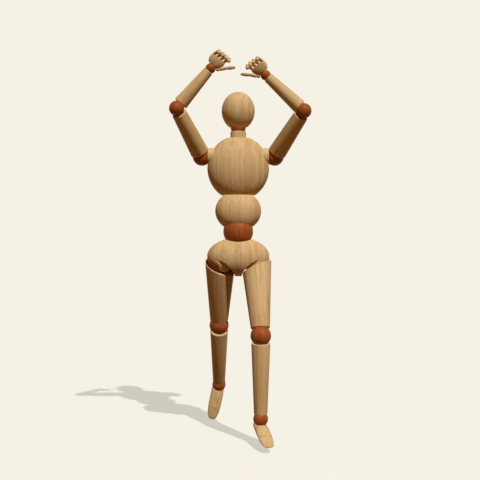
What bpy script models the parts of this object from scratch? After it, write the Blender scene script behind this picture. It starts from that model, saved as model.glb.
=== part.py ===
"""Wooden drawing mannequin: turned beech limbs on stained beech balls, held by springs.

Metres, +Z up.  The figure faces -Y; its left side is +X.  The origin is the middle of
the small flat under the pelvis where the rod of a stand goes in.  The pose is the
photographed one: arms raised in a ring over the head, left leg stepping forward.
"""
import math

import bmesh
import bpy
from mathutils import Matrix, Vector

for old in list(bpy.data.objects):
    bpy.data.objects.remove(old, do_unlink=True)

# Fits.  Every socket is turned larger than its ball by these two.
FIT_SHARE = 0.027
FIT_GAP = 0.00018
SEAM_GAP = 0.0003

# Facet counts
TURNED = 18
SMALL = 12
FINGER = 8

# Pelvis and waist
PELVIS_HALF = (0.0368, 0.0215, 0.0231)
PELVIS_Z = 0.0225
ROD_HOLE_R = 0.0020
ROD_HOLE_DEPTH = 0.0100
WAIST_R = 0.0176
WAIST_Z = 0.0526
ABDOMEN_HALF = (0.0271, 0.0194, 0.0240)
ABDOMEN_Z = 0.0768
CHEST_HALF = (0.0364, 0.0236, 0.0382)
CHEST_Z = 0.1272
TRUNK_SPLIT_Z = 0.0952
SPINE_BORE_R = 0.0040
SPINE_SOCKET_DEPTH = 0.0130

# Neck and head
NECK_SEAT_Z = 0.1625
NECK_R = 0.0092
NECK_LIP_R = 0.0081
NECK_PIN_R = 0.0040
NECK_PIN_LENGTH = 0.0100
HEAD_BALL_R = 0.0089
HEAD_BALL_RISE = 0.0125
HEAD_RIM = 0.0009
HEAD_R = 0.0195
HEAD_WIDEST_RISE = 0.0193
HEAD_CROWN = 0.0229
HEAD_JAW = 0.0224
HEAD_CHIN_TAPER = 0.03

# Arms
SHOULDER_X = 0.0428
SHOULDER_Z = 0.1410
SHOULDER_BALL_R = 0.0109
BOSS_R = 0.0100
BOSS_RIM = 0.0069
BOSS_INNER_X = 0.0262
UPPER_ARM_L = 0.0700
UPPER_ARM_TOP_R = 0.0107
SHOULDER_RIM = 0.0066
ELBOW_BALL_R = 0.0086
ELBOW_RIM = 0.0068
UPPER_ARM_END_R = 0.0085
FOREARM_L = 0.0587
FOREARM_TOP_R = 0.0082
FOREARM_END_R = 0.0057
WRIST_BALL_R = 0.0058
WRIST_RIM = 0.0038
ARM_BORE_R = 0.0028
FOREARM_BORE_R = 0.0022

# Hands
KNUCKLE_Z = 0.0154
KNUCKLE_X = (0.0072, 0.0024, -0.0024, -0.0072)
FINGER_NAMES = ("index", "middle", "ring", "little")
FINGER_BASE_L = (0.0088, 0.0094, 0.0090, 0.0080)
FINGER_TIP_L = (0.0072, 0.0078, 0.0074, 0.0066)
FINGER_BALL_R = 0.00205
FINGER_R = 0.00205
FINGER_NECK_R = 0.00160
FINGER_RIM = 0.00140
THUMB_ROOT = (0.0069, -0.0008, -0.0043)
THUMB_PLAY = 6.0
THUMB_SPREAD = 42.0
THUMB_BASE_L = 0.0088
THUMB_TIP_L = 0.0120
THUMB_SCALE = 1.0

# Legs
HIP_X = 0.0218
HIP_Z = 0.0172
HIP_BALL_R = 0.0136
HIP_SEAT = 18.0
HIP_LIP_R = 0.0156
HIP_MOUTH_R = 0.0164
HIP_RIM = 0.0068
HIP_SLANT = 22.0
THIGH_L = 0.0890
THIGH_TOP_R = 0.0172
THIGH_END_R = 0.0111
KNEE_BALL_R = 0.0118
KNEE_RIM = 0.0085
SHIN_L = 0.0970
SHIN_TOP_R = 0.0109
SHIN_END_R = 0.0078
ANKLE_BALL_R = 0.0086
ANKLE_RIM = 0.0056
LEG_BORE_R = 0.0034
SHIN_BORE_R = 0.0026
HIP_SWEEP = (-23.0, -9.5, 4.0, 17.5, 31.0)
HIP_SPREAD = (-10.0, 1.0)
HIP_TURN = (-5.0, 14.0)

# Feet: stations along the foot as (y, half width, top, bottom) from the ankle centre
FOOT_STATIONS = (
    (0.0112, 0.0040, -0.0082, -0.0122),
    (0.0094, 0.0058, -0.0064, -0.0132),
    (0.0050, 0.0073, -0.0046, -0.0136),
    (-0.0040, 0.0078, -0.0042, -0.0136),
    (-0.0130, 0.0081, -0.0046, -0.0136),
    (-0.0220, 0.0082, -0.0060, -0.0136),
    (-0.0300, 0.0079, -0.0074, -0.0135),
    (-0.0380, 0.0069, -0.0086, -0.0133),
    (-0.0435, 0.0053, -0.0096, -0.0129),
    (-0.0465, 0.0029, -0.0106, -0.0122),
)
TOE_HINGE = (-0.0310, -0.0106)
TOE_HINGE_R = 0.0042

# Springs
WIRE_R = 0.0005
SPRING_SIDES = 4
SPRING_STEPS = 5

# Photographed pose in degrees: (figure's left, figure's right)
ARM_SWING = (41.4, 39.8)
ARM_RAISE = (153.5, 157.8)
ARM_TWIST = (115.6, 119.6)
ELBOW_BEND = (81.8, 72.2)
FOREARM_TWIST = (-98.3, -100.1)
WRIST_BEND = (-5.2, -7.0)
WRIST_TILT = (9.0, 3.0)
KNUCKLE_CURL = (48.0, 48.0)
FINGER_CURL = (62.0, 62.0)
THUMB_BEND = (4.0, 4.0)
HIP_SWING = (-19.2, 26.8)
HIP_SIDE = (-2.6, -1.2)
THIGH_TWIST = (5.8, 3.5)
KNEE_BEND = (23.9, 4.9)
SHIN_TWIST = (5.2, 13.0)
ANKLE_POINT = (8.9, 48.4)
ANKLE_ROLL = (1.2, -13.7)
TOE_BEND = (0.0, 6.0)


def finish(name, colour, roughness, metallic=0.0):
    """Return a plain material for one finish."""
    mat = bpy.data.materials.new(name)
    mat.use_nodes = True
    shader = mat.node_tree.nodes["Principled BSDF"]
    shader.inputs["Base Color"].default_value = colour
    shader.inputs["Roughness"].default_value = roughness
    shader.inputs["Metallic"].default_value = metallic
    return mat


BEECH = finish("beech", (0.50, 0.31, 0.15, 1.0), 0.55)
STAINED = finish("stained beech", (0.19, 0.052, 0.014, 1.0), 0.35)
STEEL = finish("spring steel", (0.42, 0.42, 0.43, 1.0), 0.3, 1.0)


def socket_r(ball_r):
    """Radius of the socket that takes a ball."""
    return ball_r * (1.0 + FIT_SHARE) + FIT_GAP


def turn(angle, axis):
    """Rotation matrix about a named axis, in degrees."""
    return Matrix.Rotation(math.radians(angle), 4, axis)


def arc(centre, radius, start, stop, count):
    """Points (r, z) on a circle about the axis; angles in degrees from +Z."""
    points = []
    for i in range(count + 1):
        a = math.radians(start + (stop - start) * i / count)
        points.append((radius * math.sin(a), centre + radius * math.cos(a)))
    return points


def angle_of_r(radius, r):
    """Angle from the axis, in degrees, where a circle has distance r from it."""
    return math.degrees(math.asin(r / radius))


def angle_of_z(radius, z):
    """Angle from the axis, in degrees, where a circle has height z over its centre."""
    return math.degrees(math.acos(z / radius))


def to_object(name, bm, mat):
    """Turn a bmesh into an object with outward faces and one material."""
    bmesh.ops.recalc_face_normals(bm, faces=bm.faces[:])
    if bm.calc_volume(signed=True) < 0.0:
        bmesh.ops.reverse_faces(bm, faces=bm.faces[:])
    mesh = bpy.data.meshes.new(name)
    bm.to_mesh(mesh)
    bm.free()
    mesh.materials.append(mat)
    obj = bpy.data.objects.new(name, mesh)
    bpy.context.scene.collection.objects.link(obj)
    return obj


def skin(bm, rings, closed):
    """Join rings of vertices with quads; a ring of one vertex is a pole."""
    pairs = list(zip(rings, rings[1:]))
    if closed:
        pairs.append((rings[-1], rings[0]))
    for a, b in pairs:
        n = max(len(a), len(b))
        for i in range(n):
            j = (i + 1) % n
            if len(a) == 1:
                bm.faces.new((a[0], b[j], b[i]))
            elif len(b) == 1:
                bm.faces.new((a[i], a[j], b[0]))
            else:
                bm.faces.new((a[i], a[j], b[j], b[i]))


def slant_ring(point, count, slant):
    """Points of one ring of a profile.

    A third value is the share of the slant by which the ring turns about the centre;
    None keeps the ring round about Z and only cuts it off at the slanted plane.
    """
    r, z = point[0], point[1]
    share = point[2] if len(point) > 2 else 0.0
    spots = []
    for i in range(count):
        a = 2.0 * math.pi * i / count
        spot = Vector((r * math.cos(a), r * math.sin(a), z))
        if share is None:
            lean = math.radians(slant)
            spot.z = z / math.cos(lean) - math.tan(lean) * spot.x
        else:
            spot = turn(slant * share, "Y") @ spot
        spots.append(spot)
    return spots


def lathe(name, profile, mat, segments, closed=False, slant=0.0):
    """Turn a profile of (r, z) or (r, z, share of slant) about Z."""
    bm = bmesh.new()
    rings = []
    for point in profile:
        count = 1 if point[0] < 1e-7 else segments
        rings.append([bm.verts.new(spot) for spot in slant_ring(point, count, slant)])
    skin(bm, rings, closed)
    return to_object(name, bm, mat)


def ellipsoid(name, half, centre_z, mat, segments, rows):
    """Block turned and flattened to three half axes."""
    obj = lathe(name, arc(0.0, 1.0, 0.0, 180.0, rows), mat, segments)
    obj.data.transform(Matrix.Translation((0.0, 0.0, centre_z)) @ Matrix.Diagonal((*half, 1.0)))
    return obj


def ball(name, radius, mat=STAINED, segments=TURNED, rows=8):
    """Plain ball about its own origin."""
    return lathe(name, arc(0.0, radius, 0.0, 180.0, rows), mat, segments)


def pegged_ball(name, radius, peg_r, peg_end, segments=TURNED):
    """Ball with a round peg down its -Z side."""
    profile = arc(0.0, radius, 0.0, 180.0 - angle_of_r(radius, peg_r), 6)
    profile.append((peg_r, -peg_end + 0.3 * peg_r))
    profile.append((0.7 * peg_r, -peg_end))
    profile.append((0.0, -peg_end))
    return lathe(name, profile, STAINED, segments)


def carve(obj, cutter, operation="DIFFERENCE"):
    """Cut one solid with another and drop the cutter."""
    mod = obj.modifiers.new("carve", "BOOLEAN")
    mod.operation = operation
    mod.solver = "EXACT"
    mod.object = cutter
    bpy.context.view_layer.update()
    graph = bpy.context.evaluated_depsgraph_get()
    mesh = bpy.data.meshes.new_from_object(obj.evaluated_get(graph))
    obj.modifiers.clear()
    old = obj.data
    obj.data = mesh
    bpy.data.meshes.remove(old)
    mesh.name = obj.name
    bpy.data.objects.remove(cutter, do_unlink=True)
    return obj


def place(obj, parent, matrix):
    """Hang a piece on its parent by its own joint centre."""
    obj.parent = parent
    obj.matrix_parent_inverse = Matrix.Identity(4)
    obj.matrix_local = matrix
    return obj


def at(x, y, z):
    """Translation matrix."""
    return Matrix.Translation((x, y, z))


def limb(name, length, top, end, bore_r, bevel, segments=TURNED):
    """Tapered limb from the joint at its origin down to the next at -length.

    top and end are (ball radius, rim distance, limb radius).
    """
    cup_a, rim_a, r_a = socket_r(top[0]), top[1], top[2]
    cup_b, rim_b, r_b = socket_r(end[0]), end[1], end[2]
    profile = arc(0.0, cup_a, 180.0 - angle_of_r(cup_a, bore_r), angle_of_z(cup_a, -rim_a), 2)
    profile.append((r_a - bevel, -rim_a))
    profile.append((r_a, -rim_a - bevel))
    profile.append((r_b, -length + rim_b + bevel))
    profile.append((r_b - bevel, -length + rim_b))
    profile += arc(-length, cup_b, angle_of_z(cup_b, rim_b), angle_of_r(cup_b, bore_r), 2)
    return lathe(name, profile, BEECH, segments, closed=True)


def thigh_piece(name, side):
    """Thigh with a slanted stepped mouth round the hip ball, bored for its spring."""
    cup_a, cup_b = socket_r(HIP_BALL_R), socket_r(KNEE_BALL_R)
    bevel = 0.0010
    seat = 180.0 - HIP_SEAT
    profile = arc(0.0, cup_a, 180.0 - angle_of_r(cup_a, LEG_BORE_R), seat, 1)
    for i, (r, z) in enumerate(arc(0.0, HIP_MOUTH_R, seat, angle_of_z(HIP_MOUTH_R, -HIP_RIM), 3)):
        profile.append((r, z, i / 3.0))
    profile.append((THIGH_TOP_R - 0.0003, -HIP_RIM, None))
    profile.append((THIGH_TOP_R, -HIP_RIM - 0.0006, None))
    profile.append((THIGH_END_R, -THIGH_L + KNEE_RIM + bevel))
    profile.append((THIGH_END_R - bevel, -THIGH_L + KNEE_RIM))
    end = arc(-THIGH_L, cup_b, angle_of_z(cup_b, KNEE_RIM), angle_of_r(cup_b, LEG_BORE_R), 2)
    return lathe(name, profile + end, BEECH, TURNED, closed=True, slant=-side * HIP_SLANT)


def swept(side, corners):
    """Convex space that rings in one thigh top sweep about the hip centre."""
    bm = bmesh.new()
    for swing in HIP_SWEEP:
        for spread in HIP_SPREAD:
            for twist in HIP_TURN:
                lean = turn(swing, "X") @ turn(side * spread, "Y") @ turn(side * twist, "Z")
                for r, z, share in corners:
                    wide = (r / math.cos(math.pi / TURNED), z, share)
                    for spot in slant_ring(wide, TURNED, -side * HIP_SLANT):
                        bm.verts.new(lean @ spot)
    bmesh.ops.convex_hull(bm, input=bm.verts[:])
    spare = [v for v in bm.verts if not v.link_faces]
    bmesh.ops.delete(bm, geom=spare, context="VERTS")
    bmesh.ops.dissolve_limit(bm, angle_limit=0.14, verts=bm.verts[:], edges=bm.edges[:])
    bmesh.ops.triangulate(bm, faces=bm.faces[:])
    return to_object("thigh_room", bm, BEECH)


def clear_hip(obj, side):
    """Cut one hip socket and the room its thigh moves in, leaving the socket lip."""
    centre = at(side * HIP_X, 0.0, HIP_Z)
    carve(obj, sphere_cut(socket_r(HIP_BALL_R), centre.translation))
    room = 0.0005
    wide = THIGH_TOP_R + room
    skirt = swept(side, ((wide, -HIP_RIM + room, None), (wide - 0.0014, -0.0300, 0.0)))
    lip = ball("lip", HIP_LIP_R, BEECH, TURNED, 8)
    lip.data.transform(turn(side * 7.0, "Z"))
    carve(skirt, lip)
    skirt.data.transform(centre)
    carve(obj, skirt)
    seat_r = socket_r(HIP_BALL_R) * math.sin(math.radians(HIP_SEAT)) + room
    seat_z = socket_r(HIP_BALL_R) * math.cos(math.radians(HIP_SEAT)) - room
    reach = HIP_MOUTH_R / socket_r(HIP_BALL_R)
    corners = ((seat_r, -seat_z, 0.0), (seat_r * reach, -seat_z * reach, 0.0), (seat_r, -0.0300, 0.0))
    seat = swept(side, corners)
    seat.data.transform(centre)
    carve(obj, seat)


def sphere_cut(radius, centre, segments=TURNED, rows=8):
    """Ball-shaped cutter."""
    obj = ball("cut", radius, BEECH, segments, rows)
    obj.data.transform(at(*centre))
    return obj


def rod_cut(radius, start, stop, segments=TURNED):
    """Round cutter between two points."""
    start, stop = Vector(start), Vector(stop)
    axis = stop - start
    profile = [(0.0, 0.0), (radius, 0.0), (radius, axis.length), (0.0, axis.length)]
    obj = lathe("cut", profile, BEECH, segments)
    obj.data.transform(Matrix.Translation(start) @ axis.to_track_quat("Z", "Y").to_matrix().to_4x4())
    return obj


def loft(name, stations, mat, segments, power=2.6):
    """Block through stations of (distance, half width, top, bottom) along -Y."""
    bm = bmesh.new()
    rings = []
    for y, half, top, bottom in stations:
        mid, rise = 0.5 * (top + bottom), 0.5 * (top - bottom)
        ring = []
        for i in range(segments):
            a = 2.0 * math.pi * (i + 0.5) / segments
            c, s = math.cos(a), math.sin(a)
            x = half * math.copysign(abs(c) ** (2.0 / power), c)
            z = mid + rise * math.copysign(abs(s) ** (2.0 / power), s)
            ring.append(bm.verts.new((x, y, z)))
        rings.append(ring)
    skin(bm, rings, False)
    bm.faces.new(rings[0])
    bm.faces.new(rings[-1])
    return to_object(name, bm, mat)


def toe_cutter(radius, reach):
    """Half-round prism across the foot from the toe hinge forward."""
    hinge_y, hinge_z = TOE_HINGE
    outline = []
    for i in range(9):
        a = math.radians(90.0 - 180.0 * i / 8)
        outline.append((hinge_y + radius * math.cos(a), hinge_z + radius * math.sin(a)))
    outline.append((hinge_y, hinge_z - 0.02))
    outline.append((hinge_y - reach, hinge_z - 0.02))
    outline.append((hinge_y - reach, hinge_z + 0.02))
    outline.append((hinge_y, hinge_z + 0.02))
    bm = bmesh.new()
    left = [bm.verts.new((-0.02, y, z)) for y, z in outline]
    right = [bm.verts.new((0.02, y, z)) for y, z in outline]
    skin(bm, [left, right], False)
    bm.faces.new(left)
    bm.faces.new(right)
    return to_object("cut", bm, BEECH)


def foot_pieces(tag):
    """Foot with the ankle socket, and its toe piece rolling on a round joint."""
    foot = loft("foot_" + tag, FOOT_STATIONS, BEECH, SMALL)
    toes = loft("toes_" + tag, FOOT_STATIONS, BEECH, SMALL)
    carve(foot, toe_cutter(TOE_HINGE_R + SEAM_GAP, 0.03))
    carve(foot, sphere_cut(socket_r(ANKLE_BALL_R), (0.0, 0.0, 0.0)))
    carve(toes, toe_cutter(TOE_HINGE_R, 0.03), "INTERSECT")
    toes.data.transform(at(0.0, -TOE_HINGE[0], -TOE_HINGE[1]))
    return foot, toes


PALM_STATIONS = (
    (-0.0036, 0.0056, 0.0036, -0.0042),
    (-0.0050, 0.0071, 0.0043, -0.0048),
    (-0.0078, 0.0088, 0.0045, -0.0050),
    (-0.0108, 0.0096, 0.0042, -0.0046),
    (-0.0134, 0.0096, 0.0035, -0.0036),
    (-0.0145, 0.0092, 0.0026, -0.0026),
)


def palm_piece(name, side):
    """Palm block with sockets for the wrist, four fingers and the thumb."""
    obj = loft(name, PALM_STATIONS, BEECH, SMALL, 2.4)
    obj.data.transform(turn(90.0, "X"))
    carve(obj, sphere_cut(socket_r(WRIST_BALL_R), (0.0, 0.0, 0.0), SMALL, 7))
    for x in KNUCKLE_X:
        carve(obj, sphere_cut(finger_socket(1.0), (side * x, 0.0, -KNUCKLE_Z), 8, 5))
    root = (side * THUMB_ROOT[0], THUMB_ROOT[1], THUMB_ROOT[2])
    carve(obj, sphere_cut(finger_socket(THUMB_SCALE), root, 8, 5))
    for spread in (THUMB_SPREAD - THUMB_PLAY, THUMB_SPREAD):
        way = turn(-side * spread, "Y") @ Vector((0.0, 0.0, -0.012))
        carve(obj, rod_cut(FINGER_R * THUMB_SCALE + 0.0005, root, Vector(root) + way, 8))
    return obj


def finger_socket(scale):
    """Radius of the socket for a finger ball."""
    return FINGER_BALL_R * scale * 1.06 + FIT_GAP


def finger_base(name, length, scale):
    """First finger link: ball root, waisted neck, shaft and end socket."""
    root, neck, shaft = FINGER_BALL_R * scale, FINGER_NECK_R * scale, FINGER_R * scale
    cup, rim = finger_socket(scale * 0.94), FINGER_RIM * scale
    profile = arc(0.0, root, 0.0, 180.0 - angle_of_r(root, neck), 3)
    profile.append((shaft, -0.45 * length))
    profile.append((shaft, -length + rim))
    profile += arc(-length, cup, angle_of_z(cup, rim), 0.0, 2)
    return lathe(name, profile, BEECH, FINGER)


def finger_tip(name, length, scale):
    """Last finger link: ball root and a rounded end."""
    root, neck, shaft = FINGER_BALL_R * scale * 0.94, FINGER_NECK_R * scale * 0.94, FINGER_R * scale
    profile = arc(0.0, root, 0.0, 180.0 - angle_of_r(root, neck), 3)
    profile.append((shaft, -0.42 * length))
    profile.append((shaft * 0.80, -0.88 * length))
    profile.append((0.0, -length))
    return lathe(name, profile, BEECH, FINGER)


def spring(name, coil_r, top, bottom, turns):
    """Closed-end tension spring along Z with straight tails on the axis."""
    path = [Vector((0.0, 0.0, top)), Vector((0.0, 0.0, top - 0.0022))]
    start, stop = top - 0.0036, bottom + 0.0036
    steps = int(turns * SPRING_STEPS)
    for i in range(steps + 1):
        a = 2.0 * math.pi * i / SPRING_STEPS
        z = start + (stop - start) * i / steps
        path.append(Vector((coil_r * math.cos(a), coil_r * math.sin(a), z)))
    path.append(Vector((0.0, 0.0, bottom + 0.0022)))
    path.append(Vector((0.0, 0.0, bottom)))
    bm = bmesh.new()
    rings = []
    side = Vector((1.0, 0.0, 0.0))
    for i, point in enumerate(path):
        ahead = path[min(i + 1, len(path) - 1)] - path[max(i - 1, 0)]
        ahead.normalize()
        side = (side - ahead * side.dot(ahead)).normalized()
        over = ahead.cross(side)
        ring = []
        for k in range(SPRING_SIDES):
            a = 2.0 * math.pi * (k + 0.5) / SPRING_SIDES
            ring.append(bm.verts.new(point + WIRE_R * (side * math.cos(a) + over * math.sin(a))))
        rings.append(ring)
    skin(bm, rings, False)
    bm.faces.new(rings[0])
    bm.faces.new(rings[-1])
    return to_object(name, bm, STEEL)


# Trunk.  The pelvis is the fixed piece; each later piece hangs on its own joint centre.
pelvis = ellipsoid("pelvis", PELVIS_HALF, PELVIS_Z, BEECH, 24, 12)
carve(pelvis, sphere_cut(socket_r(WAIST_R), (0.0, 0.0, WAIST_Z)))
for sign in (1.0, -1.0):
    clear_hip(pelvis, sign)
floor_cut = lathe("cut", [(0.0, 0.0), (0.1, 0.0), (0.1, -0.05), (0.0, -0.05)], BEECH, 8)
carve(pelvis, floor_cut)
carve(pelvis, rod_cut(ROD_HOLE_R, (0.0, 0.0, -0.01), (0.0, 0.0, ROD_HOLE_DEPTH), 12))

waist_ball = place(ball("waist_ball", WAIST_R), pelvis, at(0.0, 0.0, WAIST_Z))

abdomen = ellipsoid("abdomen", ABDOMEN_HALF, ABDOMEN_Z, BEECH, 20, 8)
top_cut = lathe("cut", [(0.0, 0.05), (0.1, 0.05), (0.1, 0.0), (0.0, 0.0)], BEECH, 8)
top_cut.data.transform(at(0.0, 0.0, TRUNK_SPLIT_Z))
carve(abdomen, top_cut)
carve(abdomen, sphere_cut(socket_r(WAIST_R), (0.0, 0.0, WAIST_Z)))
carve(abdomen, rod_cut(SPINE_BORE_R, (0.0, 0.0, WAIST_Z), (0.0, 0.0, CHEST_Z), 12))
abdomen.data.transform(at(0.0, 0.0, -WAIST_Z))
place(abdomen, waist_ball, Matrix.Identity(4))

spine_low = WAIST_R + 0.0010
spine_high = TRUNK_SPLIT_Z - WAIST_Z + SPINE_SOCKET_DEPTH - 0.0010
spine = spring("spine_spring", SPINE_BORE_R - 0.0004 - WIRE_R, spine_high, spine_low, 7)
place(spine, abdomen, Matrix.Identity(4))

chest = ellipsoid("chest", CHEST_HALF, CHEST_Z, BEECH, 20, 12)
low_cut = lathe("cut", [(0.0, 0.0), (0.1, 0.0), (0.1, -0.05), (0.0, -0.05)], BEECH, 8)
low_cut.data.transform(at(0.0, 0.0, TRUNK_SPLIT_Z + SEAM_GAP))
carve(chest, low_cut)
high_cut = lathe("cut", [(0.0, 0.05), (0.1, 0.05), (0.1, 0.0), (0.0, 0.0)], BEECH, 8)
high_cut.data.transform(at(0.0, 0.0, NECK_SEAT_Z))
carve(chest, high_cut)
carve(chest, rod_cut(SPINE_BORE_R, (0.0, 0.0, 0.05), (0.0, 0.0, TRUNK_SPLIT_Z + SPINE_SOCKET_DEPTH), 12))
neck_hole_end = NECK_SEAT_Z - NECK_PIN_LENGTH - 0.0004
carve(chest, rod_cut(NECK_PIN_R + 0.0004, (0.0, 0.0, NECK_SEAT_Z + 0.02), (0.0, 0.0, neck_hole_end), 12))
for sign in (1.0, -1.0):
    inner = (sign * (BOSS_INNER_X - SEAM_GAP), 0.0, SHOULDER_Z)
    carve(chest, rod_cut(BOSS_R * 1.012 + SEAM_GAP, inner, (sign * 0.06, 0.0, SHOULDER_Z)))
chest.data.transform(at(0.0, 0.0, -TRUNK_SPLIT_Z))
place(chest, abdomen, at(0.0, 0.0, TRUNK_SPLIT_Z - WAIST_Z))

head_cup = socket_r(HEAD_BALL_R)
neck_rise = HEAD_BALL_RISE - SEAM_GAP
neck_lip = math.sqrt(head_cup ** 2 - NECK_LIP_R ** 2)
neck_profile = [(0.0, -NECK_PIN_LENGTH), (NECK_PIN_R, -NECK_PIN_LENGTH), (NECK_PIN_R, 0.0)]
neck_profile += [(NECK_R, 0.0), (NECK_R, neck_rise - neck_lip - 0.0006)]
neck_profile.append((NECK_R - 0.0006, neck_rise - neck_lip))
neck_profile += arc(neck_rise, head_cup, 180.0 - angle_of_r(head_cup, NECK_LIP_R), 180.0, 3)
neck = lathe("neck", neck_profile, BEECH, TURNED)
place(neck, chest, at(0.0, 0.0, NECK_SEAT_Z + SEAM_GAP - TRUNK_SPLIT_Z))

head_ball = place(ball("head_ball", HEAD_BALL_R), neck, at(0.0, 0.0, neck_rise))

head_profile = arc(0.0, head_cup, 0.0, angle_of_z(head_cup, HEAD_RIM), 4)
head_mid = HEAD_WIDEST_RISE
for i in range(9):
    low = HEAD_RIM - head_mid
    z = low + (HEAD_CROWN * 0.995 - low) * (1.0 - math.cos(math.pi * i / 8)) / 2.0
    reach = HEAD_CROWN if z > 0.0 else HEAD_JAW
    width = HEAD_R * math.sqrt(1.0 - (z / reach) ** 2)
    if z < 0.0:
        width *= 1.0 - HEAD_CHIN_TAPER * (z / reach) ** 2
    head_profile.append((width, head_mid + z))
head_profile.append((0.0, head_mid + HEAD_CROWN))
head = place(lathe("head", head_profile, BEECH, 20), head_ball, Matrix.Identity(4))


def hand(tag, side, k, parent):
    """Palm, fingers and thumb of one hand on its wrist ball."""
    palm = place(palm_piece("palm_" + tag, side), parent, turn(side * WRIST_TILT[k], "Y"))
    for finger, x, base_l, tip_l in zip(FINGER_NAMES, KNUCKLE_X, FINGER_BASE_L, FINGER_TIP_L):
        base = finger_base(finger + "_base_" + tag, base_l, 1.0)
        place(base, palm, at(side * x, 0.0, -KNUCKLE_Z) @ turn(-KNUCKLE_CURL[k], "X"))
        tip = finger_tip(finger + "_tip_" + tag, tip_l, 1.0)
        place(tip, base, at(0.0, 0.0, -base_l) @ turn(-FINGER_CURL[k], "X"))
    base = finger_base("thumb_base_" + tag, THUMB_BASE_L, THUMB_SCALE)
    root = at(side * THUMB_ROOT[0], THUMB_ROOT[1], THUMB_ROOT[2])
    place(base, palm, root @ turn(-side * THUMB_SPREAD, "Y"))
    tip = finger_tip("thumb_tip_" + tag, THUMB_TIP_L, THUMB_SCALE)
    place(tip, base, at(0.0, 0.0, -THUMB_BASE_L) @ turn(-side * THUMB_BEND[k], "Y"))


def arm(tag, side, k):
    """Shoulder boss, arm and hand of one side."""
    cup = socket_r(SHOULDER_BALL_R)
    depth = SHOULDER_X - BOSS_INNER_X
    profile = [(0.0, -depth), (BOSS_R, -depth), (BOSS_R, -BOSS_RIM - 0.0010)]
    profile.append((BOSS_R - 0.0010, -BOSS_RIM))
    profile += arc(0.0, cup, angle_of_z(cup, -BOSS_RIM), 180.0, 3)
    boss = lathe("shoulder_boss_" + tag, profile, BEECH, TURNED)
    boss.data.transform(turn(side * 90.0, "Y"))
    centre = at(side * SHOULDER_X, 0.0, SHOULDER_Z - TRUNK_SPLIT_Z)
    place(boss, chest, centre @ turn(ARM_SWING[k], "X"))

    peg = ARM_BORE_R - 0.0004
    shoulder = pegged_ball("shoulder_ball_" + tag, SHOULDER_BALL_R, peg, SHOULDER_BALL_R + 0.0060)
    place(shoulder, boss, turn(-side * ARM_RAISE[k], "Y"))

    top = (SHOULDER_BALL_R, SHOULDER_RIM, UPPER_ARM_TOP_R)
    end = (ELBOW_BALL_R, ELBOW_RIM, UPPER_ARM_END_R)
    upper = limb("upper_arm_" + tag, UPPER_ARM_L, top, end, ARM_BORE_R, 0.0009)
    place(upper, shoulder, turn(side * ARM_TWIST[k], "Z"))

    high = -SHOULDER_BALL_R - 0.0070
    low = -UPPER_ARM_L + ELBOW_BALL_R + 0.0008
    coil = spring("arm_spring_" + tag, ARM_BORE_R - 0.0004 - WIRE_R, high, low, 7)
    place(coil, upper, Matrix.Identity(4))

    elbow = pegged_ball("elbow_ball_" + tag, ELBOW_BALL_R, FOREARM_BORE_R - 0.0004, ELBOW_BALL_R + 0.0050)
    place(elbow, upper, at(0.0, 0.0, -UPPER_ARM_L) @ turn(-ELBOW_BEND[k], "X"))

    top = (ELBOW_BALL_R, ELBOW_RIM, FOREARM_TOP_R)
    end = (WRIST_BALL_R, WRIST_RIM, FOREARM_END_R)
    fore = limb("forearm_" + tag, FOREARM_L, top, end, FOREARM_BORE_R, 0.0008)
    place(fore, elbow, turn(side * FOREARM_TWIST[k], "Z"))

    wrist = ball("wrist_ball_" + tag, WRIST_BALL_R, STAINED, SMALL, 7)
    place(wrist, fore, at(0.0, 0.0, -FOREARM_L) @ turn(WRIST_BEND[k], "X"))
    hand(tag, side, k, wrist)


def leg(tag, side, k):
    """Hip ball, leg and foot of one side."""
    hip = ball("hip_ball_" + tag, HIP_BALL_R)
    place(hip, pelvis, at(side * HIP_X, 0.0, HIP_Z) @ turn(HIP_SWING[k], "X"))

    high = -HIP_BALL_R - 0.0012
    low = -THIGH_L + KNEE_BALL_R + 0.0008
    coil = spring("leg_spring_" + tag, LEG_BORE_R - 0.0005 - WIRE_R, high, low, 8)
    place(coil, hip, turn(side * HIP_SIDE[k], "Y"))

    thigh = place(thigh_piece("thigh_" + tag, side), coil, turn(side * THIGH_TWIST[k], "Z"))

    knee = pegged_ball("knee_ball_" + tag, KNEE_BALL_R, SHIN_BORE_R - 0.0004, KNEE_BALL_R + 0.0070)
    place(knee, thigh, at(0.0, 0.0, -THIGH_L) @ turn(KNEE_BEND[k], "X"))

    top = (KNEE_BALL_R, KNEE_RIM, SHIN_TOP_R)
    end = (ANKLE_BALL_R, ANKLE_RIM, SHIN_END_R)
    shin = limb("shin_" + tag, SHIN_L, top, end, SHIN_BORE_R, 0.0009)
    place(shin, knee, turn(side * SHIN_TWIST[k], "Z"))

    ankle = ball("ankle_ball_" + tag, ANKLE_BALL_R)
    place(ankle, shin, at(0.0, 0.0, -SHIN_L) @ turn(ANKLE_POINT[k], "X"))

    foot, toes = foot_pieces(tag)
    place(foot, ankle, turn(side * ANKLE_ROLL[k], "Y"))
    place(toes, foot, at(0.0, TOE_HINGE[0], TOE_HINGE[1]) @ turn(TOE_BEND[k], "X"))


for index, (word, sign) in enumerate((("left", 1.0), ("right", -1.0))):
    arm(word, sign, index)
    leg(word, sign, index)
bpy.context.view_layer.update()
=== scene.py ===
# %% [markdown]
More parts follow.
